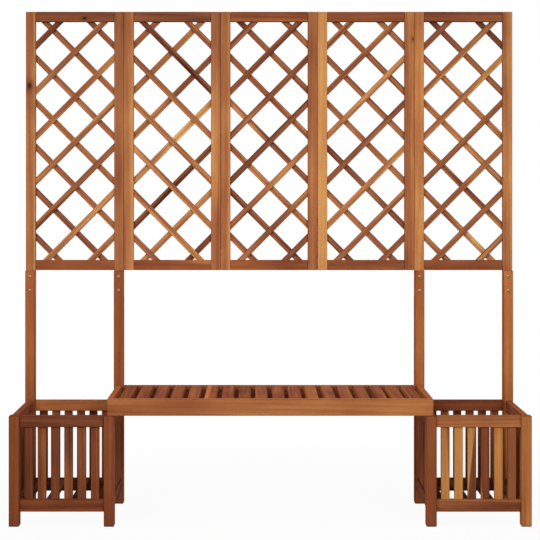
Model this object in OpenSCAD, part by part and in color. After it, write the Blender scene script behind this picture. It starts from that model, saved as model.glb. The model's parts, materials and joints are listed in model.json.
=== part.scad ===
// Planter bench with a trellis: two slatted planter boxes, a slatted seat laid across them,
// and five lattice panels standing side by side on the four tall back posts.
// The origin is on the ground, under the middle of the bench. X runs along the bench,
// the front faces -Y and Z is up.

/* [Overall] */
// Width of each end panel of the trellis, and of the planter under it
panel_w = 363; // [330:1:400]
// Width of each of the trellis panels between those two
middle_panel_w = 358; // [330:1:400]
// Depth, from the front of the front legs to the back of the posts
depth = 410; // [360:5:520]
// Side of the square stock of the legs, posts and trellis stiles
leg = 36; // [34:0.5:42]
// Height of the planters, up to the top of their front legs
planter_h = 382; // [330:1:450]
// Height of the back posts
post_h = 860; // [760:5:980]
// Height of a trellis panel above the posts
panel_h = 955.5; // [850:0.5:1050]
// Radius at the bottom edges of the feet
foot_r = 5; // [2:0.5:8]
// Radius at the top edges of the front legs
leg_top_r = 3; // [1:0.5:5]

/* [Planter frame] */
// Thickness of the planter rails
rail_t = 21; // [17:0.5:26]
// Height of a top rail
top_rail_h = 40; // [34:1:50]
// Height of a bottom rail
bottom_rail_h = 42; // [34:1:50]
// Height of the bottom rails above the ground
bottom_rail_z = 51; // [30:1:80]
// Length of a rail's tenon
tenon_l = 11; // [8:0.5:12]
// Thickness of a rail's tenon
tenon_t = 10; // [8:0.5:12]
// Shoulder above and below a tenon
tenon_shoulder = 6; // [4:0.5:9]

/* [Planter walls and floor] */
// Width of a wall slat
wall_slat_w = 30; // [24:1:34]
// Thickness of a wall slat
wall_slat_t = 11; // [9:0.5:13]
// How far the ends of the wall slats are let into the rails
slat_in = 10; // [6:1:14]
// Slats in the front wall, and in the back wall
front_slat_count = 6; // [4:1:7]
// Slats in each side wall
side_slat_count = 7; // [5:1:8]
// Width of a floor board
floor_board_w = 30; // [24:1:50]
// Thickness of a floor board
floor_board_t = 12; // [9:0.5:18]
// Floor boards in each planter
floor_board_count = 4; // [3:1:5]
// Room between the outer floor boards and the legs
floor_margin = 2; // [1:0.5:10]
// Width of the battens that carry the floor boards
floor_batten_w = 20; // [15:1:28]
// Height of the battens that carry the floor boards
floor_batten_h = 26; // [18:1:32]

/* [Bench seat] */
// How far each end of the seat laps over the planter beside it
seat_lap = 25; // [22:1:32]
// Height of the seat frame
seat_h = 57.5; // [46:0.5:75]
// Thickness of the aprons and ends of the seat frame
seat_frame_t = 22; // [18:0.5:28]
// How far the front apron stands behind the front of the legs
seat_setback = 3; // [0:0.5:10]
// Length of the tenons on the seat's ends
seat_tenon_l = 10; // [6:0.5:14]
// Width of a seat slat
seat_slat_w = 45; // [36:1:50]
// Thickness of a seat slat
seat_slat_t = 18; // [14:0.5:22]
// Seat slats
seat_slat_count = 18; // [14:1:20]
// Width of the battens that carry the seat slats
seat_batten_w = 20; // [14:1:28]
// Height of the battens that carry the seat slats
seat_batten_h = 22; // [16:1:24]

/* [Trellis] */
// Thickness of the panel frames
frame_t = 20; // [18:0.5:23]
// Height of a panel's top and bottom rails
panel_rail_h = 37; // [30:1:42]
// Depth of the groove round the inside of a panel frame
groove_d = 10; // [6:0.5:13]
// Solid wood left beyond each end of a stile's groove
groove_stop = 8; // [5:0.5:14]
// Width of a lattice strip
strip_w = 21.5; // [14:0.5:26]
// Thickness of a lattice strip
strip_t = 5.5; // [4:0.1:6.4]
// Rows of crossings beside each stile
lattice_rows = 6; // [5:1:7]
// From the top or bottom of a panel to the nearest of those crossings
lattice_margin = 63.5; // [50:0.5:80]
// Distance between the two outer columns of crossings
lattice_pitch = 164; // [140:1:180]
// Length of the tongues that reach down behind the post tops
lap_l = 95; // [80:1:120]
// Gap between the post tops and the bottom rails of the panels
lap_gap = 1.5; // [0.5:0.5:6]

/* [Fixings] */
// Diameter of the post bolts
bolt_d = 6; // [5:0.5:8]
// Diameter of a post bolt's head
bolt_head_d = 12.5; // [11:0.5:15]
// Height of a post bolt's head
bolt_head_h = 3.4; // [2.5:0.1:5]
// From each end of the lap joint to the nearest bolt
bolt_inset = 22; // [15:1:28]
// Across the flats of the key socket in a post bolt
bolt_key = 4; // [3:0.5:5]
// Outside diameter of the threaded inserts in the tongues
insert_d = 10; // [9:0.5:12]
// Length of the threaded inserts
insert_l = 14; // [10:0.5:17]
// Diameter of the wood screws
screw_d = 4.5; // [3.5:0.5:5]
// Diameter of a wood screw's head
screw_head_d = 8.5; // [7:0.5:9.5]
// Height of a wood screw's head
screw_head_h = 2.6; // [2:0.1:3.5]
// Wood left beyond the tips of the wood screws
screw_cover = 4; // [3:0.5:10]
// Depth of the counterbores under the seat screws
seat_screw_sink = 14; // [8:1:20]
// How far the seat screws reach into the seat's ends
seat_screw_reach = 32; // [20:1:40]

/* [Fits] */
// Room round a tenon in its mortise, and at the ends of a board between two others
fit = 0.3; // [0.1:0.1:0.6]
// Room on each face of a lattice strip or slat in its groove or mortise
slip = 0.2; // [0.1:0.1:0.4]
// Seam between two neighbouring trellis panels
seam = 0.4; // [0.2:0.1:1]
// Room round a screw, bolt or insert in its hole
hole_slip = 0.15; // [0.05:0.05:0.3]

/* [Hidden] */
$fn = 32;

// How far a cut runs past the face that it opens
over = 1;
panel_count = 5;
overall_w = 2 * panel_w + (panel_count - 2) * middle_panel_w;

// Planter, measured from its outer front corner on the ground
planter_w = panel_w;
rail_in = (leg + rail_t) / 2;
rail_out = (leg - rail_t) / 2;
front_span = planter_w - 2 * leg;
side_span = depth - 2 * leg;
top_rail_z = planter_h - top_rail_h;
slat_z = bottom_rail_z + bottom_rail_h - slat_in;
slat_len = top_rail_z + slat_in - slat_z;
floor_z = bottom_rail_z + floor_batten_h;
floor_len = depth - 2 * rail_in - 2 * fit;
floor_pitch = (front_span - 2 * floor_margin - floor_board_w) / (floor_board_count - 1);

// Seat, measured from the middle of the bench
seat_len = overall_w - 2 * planter_w + 2 * seat_lap;
seat_front = -depth / 2 + seat_setback;
seat_back = depth / 2 - leg - fit;
seat_depth = seat_back - seat_front;
seat_in_len = seat_len - 2 * seat_frame_t;
seat_slat_z = planter_h + seat_h - seat_slat_t;

// Trellis
stile_w = leg;
panel_z = post_h + lap_gap;
opening_h = panel_h - 2 * panel_rail_h;
groove_w = 2 * strip_t + 2 * slip;
row_pitch = (panel_h - 2 * lattice_margin) / (lattice_rows - 1);
strip_slope = row_pitch / lattice_pitch;
strip_angle = atan(strip_slope);
net_h = opening_h + 2 * groove_d - 2 * fit;
// The notch in the back of a post top, which takes the tongue
notch_d = frame_t + fit;
notch_l = lap_l + fit;
bolt_zs = [post_h - bolt_inset, post_h - lap_l + bolt_inset];
cheek = leg - notch_d;
bolt_l = cheek + fit + insert_l;
seam_rows = [0, floor(lattice_rows / 2), lattice_rows - 1];

// Seat screws stand in the slat gaps next to the ends of each inner side wall
side_gap = slat_gap(side_span, side_slat_count, wall_slat_w);
seat_screw_ys = [
    leg + 1.5 * side_gap + wall_slat_w,
    depth - leg - 1.5 * side_gap - wall_slat_w
];
// The middle of the strip where the seat's end lies over the inner top rail
seat_screw_x = (min(planter_w - rail_out, planter_w - leg + leg / 2 + rail_t / 2)
    + max(planter_w - rail_in, planter_w - seat_lap)) / 2;

russet = "#8c4727";
umber = "#6f3a20";
amber = "#9d5d33";
honey = "#b97b41";
zinc = "#b79a4e";

// The gap that spaces a number of slats evenly over a span
function slat_gap(span, count, w) = (span - count * w) / (count + 1);
// The near edges of those slats
function slat_edges(span, count, w) =
    [for (i = [0:count - 1]) slat_gap(span, count, w) + i * (slat_gap(span, count, w) + w)];
// Points of a quarter circle with its centre at c, from angle a
function quarter(c, r, a) = [for (i = [0:4]) c + r * [cos(a + i * 22.5), sin(a + i * 22.5)]];
// A leg's outline from the side, with its foot and its top eased
function leg_outline(h, top_r) = concat(
    quarter([foot_r, foot_r], foot_r, 180),
    quarter([leg - foot_r, foot_r], foot_r, 270),
    quarter([leg - top_r, h - top_r], top_r, 0),
    quarter([top_r, h - top_r], top_r, 90)
);

// Puts a part, measured from the outer front corner of a planter, in the left planter
module left() {
    translate([-overall_w / 2, -depth / 2, 0]) children();
}

// Puts the same part in the right planter, as the left one's mirror image
module right() {
    mirror([1, 0, 0]) left() children();
}

// A square upright whose foot and top are eased on all four sides
module upright(h, top_r) {
    intersection() {
        translate([0, leg, 0]) rotate([90, 0, 0]) linear_extrude(leg) polygon(leg_outline(h, top_r));
        rotate([90, 0, 90]) linear_extrude(leg) polygon(leg_outline(h, top_r));
    }
}

// Mortises for a top and a bottom rail, cut into the face that looks along +X
module rail_mortises() {
    rails = [[top_rail_z, top_rail_h], [bottom_rail_z, bottom_rail_h]];
    for (r = rails)
        translate([leg - tenon_l - fit, (leg - tenon_t) / 2 - slip, r[0] + tenon_shoulder - slip])
            cube([tenon_l + fit + over, tenon_t + 2 * slip, r[1] - 2 * tenon_shoulder + 2 * slip]);
}

// The same mortises in the face that looks along +Y
module rail_mortises_y() {
    mirror([1, -1, 0]) rail_mortises();
}

// A front leg, standing at the outer front corner of the planter
module front_leg() {
    difference() {
        upright(planter_h, leg_top_r);
        rail_mortises();
        rail_mortises_y();
    }
}

// A back post at the outer back corner, with its top notched at the back for a panel's tongue
module back_post() {
    difference() {
        translate([0, depth - leg, 0]) difference() {
            upright(post_h, 0.01);
            rail_mortises();
            translate([0, leg, 0]) mirror([0, 1, 0]) rail_mortises_y();
        }
        translate([-over, depth - notch_d, post_h - notch_l])
            cube([leg + 2 * over, notch_d + over, notch_l + over]);
        for (z = bolt_zs)
            translate([leg / 2, depth - leg - over, z]) rotate([-90, 0, 0])
                cylinder(d = bolt_d + 2 * hole_slip, h = leg);
    }
}

// Moves an upright from the outer side of a planter to the inner side
module to_inner() {
    translate([planter_w, 0, 0]) mirror([1, 0, 0]) children();
}

module front_outer_leg() { color(russet) front_leg(); }
module front_inner_leg() { color(russet) to_inner() front_leg(); }
module back_outer_post() { color(russet) back_post(); }
module back_inner_post() { color(russet) to_inner() back_post(); }

// A rail of a given span along X, with a tenon at each end and mortises for its slats.
// Its near face is at Y = 0 and the mortises open at the bottom, or at the top if slots_up is true.
module rail(span, h, slots_up, count) {
    difference() {
        union() {
            cube([span, rail_t, h]);
            translate([-tenon_l, (rail_t - tenon_t) / 2, tenon_shoulder])
                cube([span + 2 * tenon_l, tenon_t, h - 2 * tenon_shoulder]);
        }
        for (x = slat_edges(span, count, wall_slat_w))
            translate([x - slip, (rail_t - wall_slat_t) / 2 - slip, slots_up ? h - slat_in - fit : -over])
                cube([wall_slat_w + 2 * slip, wall_slat_t + 2 * slip, slat_in + fit + over]);
    }
}

module front_rail(h, slots_up) {
    translate([leg, rail_out, 0]) rail(front_span, h, slots_up, front_slat_count);
}

module side_rail(h, slots_up) {
    translate([rail_out + rail_t, leg, 0]) rotate([0, 0, 90]) rail(side_span, h, slots_up, side_slat_count);
}

module to_back() {
    translate([0, depth, 0]) mirror([0, 1, 0]) children();
}

module front_top_rail() { color(umber) translate([0, 0, top_rail_z]) front_rail(top_rail_h, false); }
module back_top_rail() { color(umber) to_back() front_top_rail(); }
module front_bottom_rail() { color(umber) translate([0, 0, bottom_rail_z]) front_rail(bottom_rail_h, true); }
module back_bottom_rail() { color(umber) to_back() front_bottom_rail(); }
module outer_top_rail() { color(russet) translate([0, 0, top_rail_z]) side_rail(top_rail_h, false); }
module outer_bottom_rail() { color(russet) translate([0, 0, bottom_rail_z]) side_rail(bottom_rail_h, true); }
module inner_bottom_rail() { color(russet) to_inner() outer_bottom_rail(); }

// The inner top rail carries the seat's end, which is screwed down to it from below
module inner_top_rail() {
    color(russet) difference() {
        to_inner() outer_top_rail();
        for (y = seat_screw_ys)
            translate([seat_screw_x, y, top_rail_z]) {
                translate([0, 0, -over]) cylinder(d = screw_head_d + 4 * hole_slip, h = seat_screw_sink + over);
                cylinder(d = screw_d + 2 * hole_slip, h = top_rail_h + over);
            }
    }
}

// One wall's slats, standing in the mortises of its top and bottom rails
module slat_row(span, count) {
    for (x = slat_edges(span, count, wall_slat_w))
        translate([x, (rail_t - wall_slat_t) / 2, slat_z]) cube([wall_slat_w, wall_slat_t, slat_len]);
}

module front_slats() {
    translate([leg, rail_out, 0]) slat_row(front_span, front_slat_count);
}

module side_slats() {
    translate([rail_out + rail_t, leg, 0]) rotate([0, 0, 90]) slat_row(side_span, side_slat_count);
}

module wall_slats(tone) {
    color(tone) {
        front_slats();
        to_back() front_slats();
        side_slats();
        to_inner() side_slats();
    }
}

// The floor boards run from front to back and lie on two battens
module floor_boards() {
    color(umber) for (i = [0:floor_board_count - 1])
        translate([leg + floor_margin + i * floor_pitch, rail_in + fit, floor_z])
            cube([floor_board_w, floor_len, floor_board_t]);
}

// The floor battens are fixed along the inside of the front and back bottom rails
module floor_batten() {
    translate([leg + fit, rail_in, bottom_rail_z])
        cube([front_span - 2 * fit, floor_batten_w, floor_batten_h]);
}

module floor_battens() {
    color(umber) {
        floor_batten();
        to_back() floor_batten();
    }
}

// An apron runs the whole length of the seat, with a mortise near each end for the seat's ends
module apron() {
    difference() {
        translate([-seat_len / 2, 0, 0]) cube([seat_len, seat_frame_t, seat_h]);
        for (s = [-1, 1])
            translate([s * (seat_len - seat_frame_t) / 2, seat_frame_t + over, seat_h / 2])
                translate([-tenon_t / 2 - slip, -seat_tenon_l - fit - over, tenon_shoulder - seat_h / 2 - slip])
                    cube([tenon_t + 2 * slip, seat_tenon_l + fit + over, seat_h - 2 * tenon_shoulder + 2 * slip]);
    }
}

module seat_front_apron() { color(amber) translate([0, seat_front, planter_h]) apron(); }
module seat_back_apron() { color(amber) translate([0, seat_back, planter_h]) mirror([0, 1, 0]) apron(); }

// An end of the seat frame, between the aprons, with a tenon at each end and two screw holes below
module seat_end() {
    inner_y = seat_front + seat_frame_t;
    span = seat_depth - 2 * seat_frame_t;
    difference() {
        translate([-seat_len / 2, inner_y, planter_h]) {
            cube([seat_frame_t, span, seat_h]);
            translate([(seat_frame_t - tenon_t) / 2, -seat_tenon_l, tenon_shoulder])
                cube([tenon_t, span + 2 * seat_tenon_l, seat_h - 2 * tenon_shoulder]);
        }
        for (y = seat_screw_ys)
            translate([seat_screw_x - overall_w / 2, y - depth / 2, planter_h - over])
                cylinder(d = screw_d + 2 * hole_slip, h = seat_screw_reach + fit + over);
    }
}

module seat_left_end() { color(russet) seat_end(); }
module seat_right_end() { color(russet) mirror([1, 0, 0]) seat_end(); }

// The seat slats run from front to back between the aprons, with their tops level with them
module seat_slats() {
    y0 = seat_front + seat_frame_t + fit;
    len = seat_depth - 2 * seat_frame_t - 2 * fit;
    color(russet) for (x = slat_edges(seat_in_len, seat_slat_count, seat_slat_w))
        translate([x - seat_in_len / 2, y0, seat_slat_z]) cube([seat_slat_w, len, seat_slat_t]);
}

// Two battens along the inside of the aprons carry the seat slats
module seat_battens() {
    color(umber) for (y = [seat_front + seat_frame_t, seat_back - seat_frame_t - seat_batten_w])
        translate([fit - seat_in_len / 2, y, seat_slat_z - seat_batten_h])
            cube([seat_in_len - 2 * fit, seat_batten_w, seat_batten_h]);
}

// Whether panel number n stands over a planter, its width without the seam, and that of its opening
function over_planter(n) = n == 1 || n == panel_count;
function panel_width(n) = (over_planter(n) ? panel_w : middle_panel_w) - seam;
function opening_width(n) = panel_width(n) - 2 * stile_w;
// The width over which its lattice strips reach, inside the grooves
function net_width(n) = opening_width(n) + 2 * groove_d - 2 * fit;

// Puts children at the bottom left front corner of panel number n
module at_panel(n) {
    x = n == 1 ? 0 : panel_w + (n - 2) * middle_panel_w;
    translate([-overall_w / 2 + x + seam / 2, depth / 2 - frame_t, panel_z]) children();
}

// A row of crossings, as a height above the bottom of its panel
function row_z(i) = lattice_margin + i * row_pitch;

// A stile with its groove on the +X side. One that stands over a post has a tongue below it,
// and one that meets another panel has screw holes through it.
module stile(tongue, joined) {
    foot = tongue ? lap_gap + lap_l : 0;
    difference() {
        translate([0, 0, -foot]) cube([stile_w, frame_t, panel_h + foot]);
        translate([stile_w - groove_d, (frame_t - groove_w) / 2, groove_stop])
            cube([groove_d + over, groove_w, panel_h - 2 * groove_stop]);
        if (joined)
            for (i = seam_rows)
                translate([-over, frame_t / 2, row_z(i)]) rotate([0, 90, 0])
                    cylinder(d = screw_d + 2 * hole_slip, h = stile_w);
        if (tongue)
            for (z = bolt_zs)
                translate([(leg - seam) / 2, -over, z - panel_z]) rotate([-90, 0, 0])
                    cylinder(d = insert_d + 2 * hole_slip, h = frame_t + 2 * over);
    }
}

// A panel's two stiles. Both stiles of an end panel stand over posts.
module stiles(n) {
    at_panel(n) {
        stile(over_planter(n), n > 1);
        translate([panel_width(n), 0, 0]) mirror([1, 0, 0]) stile(over_planter(n), n < panel_count);
    }
}

// A panel's bottom rail, grooved on top, with a stub tenon at each end in the stiles' grooves
module panel_rail(n) {
    difference() {
        translate([stile_w, 0, 0]) union() {
            cube([opening_width(n), frame_t, panel_rail_h]);
            translate([fit - groove_d, (frame_t - groove_w) / 2 + slip, groove_stop + fit])
                cube([net_width(n), groove_w - 2 * slip, panel_rail_h - groove_stop - fit]);
        }
        translate([0, (frame_t - groove_w) / 2, panel_rail_h - groove_d])
            cube([panel_width(n), groove_w, groove_d + over]);
    }
}

module rails(n) {
    at_panel(n) {
        panel_rail(n);
        translate([0, 0, panel_h]) mirror([0, 0, 1]) panel_rail(n);
    }
}

// The length of a strip's middle line inside a lattice of width w, for a strip that passes the
// panel's middle line at height c above the panel's centre
function strip_run(w, c) =
    let (lo = max(-w / 2, (-net_h / 2 - c) / strip_slope), hi = min(w / 2, (net_h / 2 - c) / strip_slope))
    (hi - lo) / cos(strip_angle);

// One layer of a panel's lattice, rising to the right if dir is 1 and to the left if it is -1.
// The strips are cut off along the frame, inside its grooves.
module strip_layer(n, dir) {
    w = net_width(n);
    reach = w + net_h;
    translate([panel_width(n) / 2, 0, panel_h / 2]) intersection() {
        translate([-w / 2, -over, -net_h / 2]) cube([w, strip_t + 2 * over, net_h]);
        for (i = [-1:lattice_rows - 1]) {
            c = (i + 1 - lattice_rows / 2) * row_pitch;
            if (strip_run(w, c) > 2 * strip_w)
                translate([0, 0, c]) rotate([0, -dir * strip_angle, 0])
                    translate([-reach / 2, 0, -strip_w / 2]) cube([reach, strip_t, strip_w]);
        }
    }
}

module front_strips(n, dir) { at_panel(n) translate([0, frame_t / 2 - strip_t, 0]) strip_layer(n, dir); }
module back_strips(n, dir) { at_panel(n) translate([0, frame_t / 2, 0]) strip_layer(n, -dir); }

// A bolt with a domed head that holds a key socket, lying along +Y with its head's seat at Y = 0
module bolt() {
    dome_r = (bolt_head_d * bolt_head_d / 4 + bolt_head_h * bolt_head_h) / (2 * bolt_head_h);
    rotate([-90, 0, 0]) difference() {
        union() {
            cylinder(d = bolt_d, h = bolt_l - fit);
            intersection() {
                translate([0, 0, -bolt_head_h]) cylinder(d = bolt_head_d, h = bolt_head_h);
                translate([0, 0, dome_r - bolt_head_h]) sphere(r = dome_r, $fn = 48);
            }
        }
        translate([0, 0, -bolt_head_h - over])
            cylinder(d = bolt_key / cos(30), h = bolt_head_h * 0.7 + over, $fn = 6);
    }
}

// The same place for every bolt and insert of the four lap joints
module at_bolts() {
    for (side = [-1, 1], x = [leg / 2, planter_w - leg / 2], z = bolt_zs)
        translate([side * (overall_w / 2 - x), 0, z]) children();
}

module post_bolts() { color(zinc) at_bolts() translate([0, depth / 2 - leg, 0]) bolt(); }

// Threaded inserts, set in the tongues from behind and level with their front faces
module post_inserts() {
    color(zinc) at_bolts() translate([0, depth / 2 - frame_t, 0]) rotate([-90, 0, 0]) difference() {
        cylinder(d = insert_d, h = insert_l);
        translate([0, 0, -over]) cylinder(d = bolt_d + 2 * hole_slip, h = insert_l + 2 * over);
    }
}

// A wood screw along +Z, with the underside of its round head at Z = 0
module wood_screw(len) {
    cylinder(d = screw_d, h = len);
    translate([0, 0, -screw_head_h]) cylinder(d = screw_head_d, h = screw_head_h);
}

// Screws that join each panel to the next, with their heads down in the stile's groove
module panel_screws() {
    len = 2 * (stile_w - groove_d) + seam - screw_cover;
    color(zinc) for (n = [1:panel_count - 1], i = seam_rows)
        at_panel(n) translate([panel_width(n) - stile_w + groove_d, frame_t / 2, row_z(i)])
            rotate([0, 90, 0]) wood_screw(len);
}

module seat_screws() {
    len = top_rail_h - seat_screw_sink + seat_screw_reach;
    color(zinc) for (s = [-1, 1], y = seat_screw_ys)
        translate([s * (overall_w / 2 - seat_screw_x), y - depth / 2, top_rail_z + seat_screw_sink])
            wood_screw(len);
}

left() front_outer_leg();  // left_front_outer_leg
left() front_inner_leg();  // left_front_inner_leg
left() back_outer_post();  // left_back_outer_post
left() back_inner_post();  // left_back_inner_post
left() front_top_rail();  // left_front_top_rail
left() back_top_rail();  // left_back_top_rail
left() outer_top_rail();  // left_outer_top_rail
left() inner_top_rail();  // left_inner_top_rail
left() front_bottom_rail();  // left_front_bottom_rail
left() back_bottom_rail();  // left_back_bottom_rail
left() outer_bottom_rail();  // left_outer_bottom_rail
left() inner_bottom_rail();  // left_inner_bottom_rail
left() wall_slats(umber);  // left_wall_slats
left() floor_boards();  // left_floor_boards
left() floor_battens();  // left_floor_battens
right() front_outer_leg();  // right_front_outer_leg
right() front_inner_leg();  // right_front_inner_leg
right() back_outer_post();  // right_back_outer_post
right() back_inner_post();  // right_back_inner_post
right() front_top_rail();  // right_front_top_rail
right() back_top_rail();  // right_back_top_rail
right() outer_top_rail();  // right_outer_top_rail
right() inner_top_rail();  // right_inner_top_rail
right() front_bottom_rail();  // right_front_bottom_rail
right() back_bottom_rail();  // right_back_bottom_rail
right() outer_bottom_rail();  // right_outer_bottom_rail
right() inner_bottom_rail();  // right_inner_bottom_rail
right() wall_slats(honey);  // right_wall_slats
right() floor_boards();  // right_floor_boards
right() floor_battens();  // right_floor_battens
seat_front_apron();
seat_back_apron();
seat_left_end();
seat_right_end();
seat_slats();
seat_battens();
color(russet) stiles(1);  // panel_1_stiles
color(umber) rails(1);  // panel_1_rails
color(amber) front_strips(1, 1);  // panel_1_front_strips
color(russet) back_strips(1, 1);  // panel_1_back_strips
color(amber) stiles(2);  // panel_2_stiles
color(umber) rails(2);  // panel_2_rails
color(amber) front_strips(2, -1);  // panel_2_front_strips
color(russet) back_strips(2, -1);  // panel_2_back_strips
color(russet) stiles(3);  // panel_3_stiles
color(umber) rails(3);  // panel_3_rails
color(amber) front_strips(3, 1);  // panel_3_front_strips
color(russet) back_strips(3, 1);  // panel_3_back_strips
color(honey) stiles(4);  // panel_4_stiles
color(umber) rails(4);  // panel_4_rails
color(amber) front_strips(4, 1);  // panel_4_front_strips
color(russet) back_strips(4, 1);  // panel_4_back_strips
color(honey) stiles(5);  // panel_5_stiles
color(umber) rails(5);  // panel_5_rails
color(amber) front_strips(5, 1);  // panel_5_front_strips
color(russet) back_strips(5, 1);  // panel_5_back_strips
post_bolts();
post_inserts();
panel_screws();
seat_screws();
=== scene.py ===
# %% [markdown]
# Planter bench with a lattice trellis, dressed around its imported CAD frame.
# The frame gives every board's place and size in metres. The bench stands on the floor at Z = 0,
# X runs along it, the front looks towards -Y and Z is up. The cells below turn the plain solids into
# oiled acacia boards with eased edges, and put zinc plated fixings, a floor, lights and a camera to them.

import json
import math
import random

import bmesh
import bpy
import numpy as np
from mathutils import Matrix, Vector


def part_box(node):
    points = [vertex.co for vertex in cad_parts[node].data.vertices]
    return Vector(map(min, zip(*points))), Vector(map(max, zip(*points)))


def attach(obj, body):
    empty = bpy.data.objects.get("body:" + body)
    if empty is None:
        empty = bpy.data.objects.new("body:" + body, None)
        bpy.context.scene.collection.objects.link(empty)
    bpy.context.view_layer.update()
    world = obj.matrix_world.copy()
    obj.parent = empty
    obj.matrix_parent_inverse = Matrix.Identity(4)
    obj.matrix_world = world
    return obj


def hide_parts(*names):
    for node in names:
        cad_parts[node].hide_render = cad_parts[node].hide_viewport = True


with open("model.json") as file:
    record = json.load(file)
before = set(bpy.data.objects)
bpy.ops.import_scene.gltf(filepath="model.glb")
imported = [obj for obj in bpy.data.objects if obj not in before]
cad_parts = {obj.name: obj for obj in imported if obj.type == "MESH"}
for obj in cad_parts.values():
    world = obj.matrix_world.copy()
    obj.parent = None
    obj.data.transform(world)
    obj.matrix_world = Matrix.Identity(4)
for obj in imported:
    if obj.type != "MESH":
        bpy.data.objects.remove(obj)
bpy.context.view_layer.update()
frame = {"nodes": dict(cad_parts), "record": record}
slot_of = {part["node"]: part["material_slot"] for part in frame["record"]["subparts"]}

# %% [markdown]
# The camera stands in front of the bench a little left of its middle, level, at the height of the
# trellis' lower half. A level camera keeps the posts upright; the lens is shifted down, as an
# architectural photographer does, rather than tilted.

# %% Camera
CAMERA_PLACE = (-0.0574, -5.386, 1.1807)
CAMERA_LENS = 100.43
CAMERA_SHIFT = (0.0304, -0.1596)

camera = bpy.data.objects.new("camera", bpy.data.cameras.new("camera"))
camera.location = CAMERA_PLACE
camera.rotation_euler = (math.radians(90), 0, 0)
camera.data.sensor_width = 36
camera.data.lens = CAMERA_LENS
camera.data.shift_x, camera.data.shift_y = CAMERA_SHIFT
bpy.context.scene.collection.objects.link(camera)
bpy.context.scene.camera = camera

# %% [markdown]
# Every board needs to know its own grain. A board is sawn along the trunk, so its colour changes slowly
# along it and quickly across it, and no two boards come from the same place in the tree. One way is to
# unwrap each board and lay a picture on it. Here each point of a board simply stores where it lies in
# the board, along, across and through it, in metres, and the wood's material reads that. It needs no
# picture, is to scale on every board, and turns with the board on the slanting lattice strips.

# %% What a board remembers
# Heartwood tones from the darkest to the palest, as places on the wood's colour ramp
TONES = {"umber": 0.12, "brown": 0.24, "chestnut": 0.34, "russet": 0.43, "copper": 0.53, "amber": 0.64,
         "gold": 0.75, "honey": 0.88}
# A line that lies this far across a board never shows
FAR = 9.0


def tone_of(words):
    """The tone of a word, or the middle of words joined by hyphens."""
    parts = words.split("-")
    return sum(TONES[word] for word in parts) / len(parts)


def look(heart, sap=None, line=FAR, drift=0.0, soft=0.006, figure=1.0, red=0.1,
         knot=(0.0, 0.0, 0.0), pale=(0.0, 0.1, 0.0)):
    """How one board was cut: its main tone, its second tone beyond a line across the board, how far
    that line drifts per metre, how soft it is, how lively the figure is, its red cast, a knot
    (along, across, radius) and a paler stretch (along, half its length, how much paler). A negative
    amount makes the stretch darker, which near the front legs' feet is painted shade."""
    heart = tone_of(heart)
    sap = tone_of(sap) if sap else heart
    return {"tones": (heart, sap, figure), "sap_line": (line, drift, soft), "knot": knot, "pale": pale,
            "red": red}


def changing(first, second, at=0.0, soft=0.12, **rest):
    """A board whose tone changes along its length, from the first tone at its lower, front or left end:
    the line between the two tones runs aslant across it."""
    return look(first, sap=second, line=at, drift=-1.0, soft=soft, **rest)


# How far a board's pith may lie beside it, and above or below it, how wide its growth rings may be,
# and how far apart two boards may lie in the noise
PITH_ASIDE = 0.05
PITH_BELOW = (0.02, 0.09)
RING_PITCH = (0.006, 0.013)
NOISE_SPREAD = 20


def board_values(name, number, board_look):
    """The values that every point of one board shares, with its place in the tree drawn by its name."""
    draw = random.Random(f"{name} {number}")
    pith = (draw.uniform(-PITH_ASIDE, PITH_ASIDE), draw.choice((-1, 1)) * draw.uniform(*PITH_BELOW),
            draw.uniform(*RING_PITCH))
    return {**board_look, "pith": pith, "seed": draw.uniform(0, NOISE_SPREAD)}


def store(mesh, name, values, domain="POINT"):
    """Stores one number or one vector for each point, or face, of a mesh."""
    values = np.asarray(values, float)
    kind, field = ("FLOAT_VECTOR", "vector") if values.ndim == 2 else ("FLOAT", "value")
    mesh.attributes.new(name, kind, domain).data.foreach_set(field, values.ravel())


def store_looks(mesh, rows, owner):
    """Stores the boards' shared values; owner says which board each point belongs to."""
    for key in ("tones", "sap_line", "knot", "pale", "pith", "red", "seed"):
        store(mesh, key, np.array([row[key] for row in rows])[owner])


print(len(TONES), "tones of acacia:", ", ".join(TONES))

# %% [markdown]
# A CAD node may hold several boards. To dress each by itself, and to place new ones exactly where the
# frame has them, the loose triangles of a copy are merged and followed from point to point until
# nothing new is found: that is one board, and its box gives its place and size.

# %% Find the separate boards in a node
SAME_POINT = 5e-5
FLAT = math.radians(1)


def merged_copy(node):
    """An edit mesh of a CAD node with its loose triangles merged and its flat faces made whole."""
    bm = bmesh.new()
    bm.from_mesh(frame["nodes"][node].data)
    bmesh.ops.remove_doubles(bm, verts=bm.verts, dist=SAME_POINT)
    bmesh.ops.dissolve_limit(bm, angle_limit=FLAT, verts=bm.verts, edges=bm.edges)
    return bm


def islands(bm):
    """The vertices of each connected solid, sorted from left to right, front to back, bottom to top."""
    left = set(bm.verts)
    found = []
    while left:
        stack = [left.pop()]
        group = []
        while stack:
            vert = stack.pop()
            group.append(vert)
            for edge in vert.link_edges:
                other = edge.other_vert(vert)
                if other in left:
                    left.remove(other)
                    stack.append(other)
        found.append(sorted(group, key=lambda v: v.index))
    return sorted(found, key=lambda group: [round(v, 3) for v in box_of(group)[0]])


def box_of(group):
    """The lowest and highest corner of some vertices."""
    places = np.array([v.co for v in group])
    return Vector(places.min(0)), Vector(places.max(0))


def solids(node):
    """The box of each separate solid in a CAD node."""
    bm = merged_copy(node)
    boxes = [box_of(group) for group in islands(bm)]
    bm.free()
    return boxes


print(len(solids("left_wall_slats")), "wall slats in a planter,", len(solids("seat_slats")), "seat slats")

# %% [markdown]
# The node trees below are built by the script. A few small helpers place a node and fill its sockets
# with numbers or with other nodes' outputs, and a value inside a tree can be added and multiplied like
# a number, so that a chain of Math nodes reads as one sum. They work in a material and in a Geometry
# Nodes tree alike.

# %% Helpers for node trees


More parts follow.
